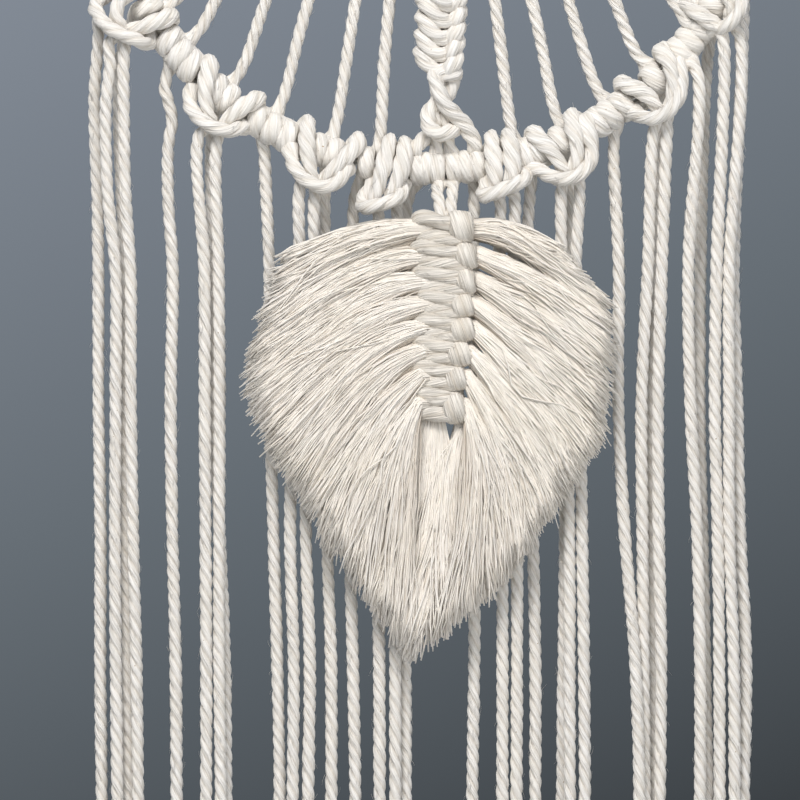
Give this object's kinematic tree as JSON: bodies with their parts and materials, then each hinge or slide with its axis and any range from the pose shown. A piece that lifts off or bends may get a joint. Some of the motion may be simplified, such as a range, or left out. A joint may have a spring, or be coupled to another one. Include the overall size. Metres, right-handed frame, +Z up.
{
  "type": "macrame wall hanging with hoop",
  "caption": "Macrame wall hanging: cotton cords fan out inside a wire hoop, are hitched along its lower half and hang straight, with a combed leaf in front.",
  "frame": {"origin": "underside of the hanging cord's top bend, where it rests on a hook, in the hoop's plane", "axes": "+Z up along the hanging cords, +X to the right seen from the front, -Y to the front, where the leaf is"},
  "size_m": [0.2064, 0.0314, 0.549],
  "materials": {
    "cotton_cord": "matte natural three ply cotton cord",
    "combed_cotton": "matte combed cotton fibre, a little creamier than the cords",
    "steel_wire": "plain bright steel wire"
  },
  "bodies": {
    "root": {"centre_hitch_left": "cotton_cord", "centre_hitch_right": "cotton_cord", "collar": "cotton_cord", "fan_cord_a": "cotton_cord", "fan_cord_b": "cotton_cord", "fan_cord_c": "cotton_cord", "fan_cord_d": "cotton_cord", "fan_cord_e": "cotton_cord", "fan_cord_f": "cotton_cord", "fan_cord_i": "cotton_cord", "fan_cord_k": "cotton_cord", "fan_cord_l": "cotton_cord", "fan_cord_m": "cotton_cord", "fan_cord_n": "cotton_cord", "fan_cord_o": "cotton_cord", "fan_cord_p": "cotton_cord", "fan_cord_q": "cotton_cord", "hang_loop": "cotton_cord", "hitch_a": "cotton_cord", "hitch_b": "cotton_cord", "hitch_c": "cotton_cord", "hitch_d": "cotton_cord", "hitch_e": "cotton_cord", "hitch_f": "cotton_cord", "hitch_i": "cotton_cord", "hitch_k": "cotton_cord", "hitch_l": "cotton_cord", "hitch_m": "cotton_cord", "hitch_n": "cotton_cord", "hitch_o": "cotton_cord", "hitch_p": "cotton_cord", "hitch_q": "cotton_cord", "hoop": "steel_wire", "leaf_fringe_left": "combed_cotton", "leaf_fringe_right": "combed_cotton", "leaf_hanger": "cotton_cord", "leaf_midrib": "combed_cotton", "loop_a": "cotton_cord", "loop_c": "cotton_cord", "loop_e": "cotton_cord", "loop_g": "cotton_cord", "loop_i": "cotton_cord", "loop_k": "cotton_cord", "loop_m": "cotton_cord", "loop_o": "cotton_cord", "saddle": "cotton_cord", "sinnet": "cotton_cord"}
  },
  "joints": []
}
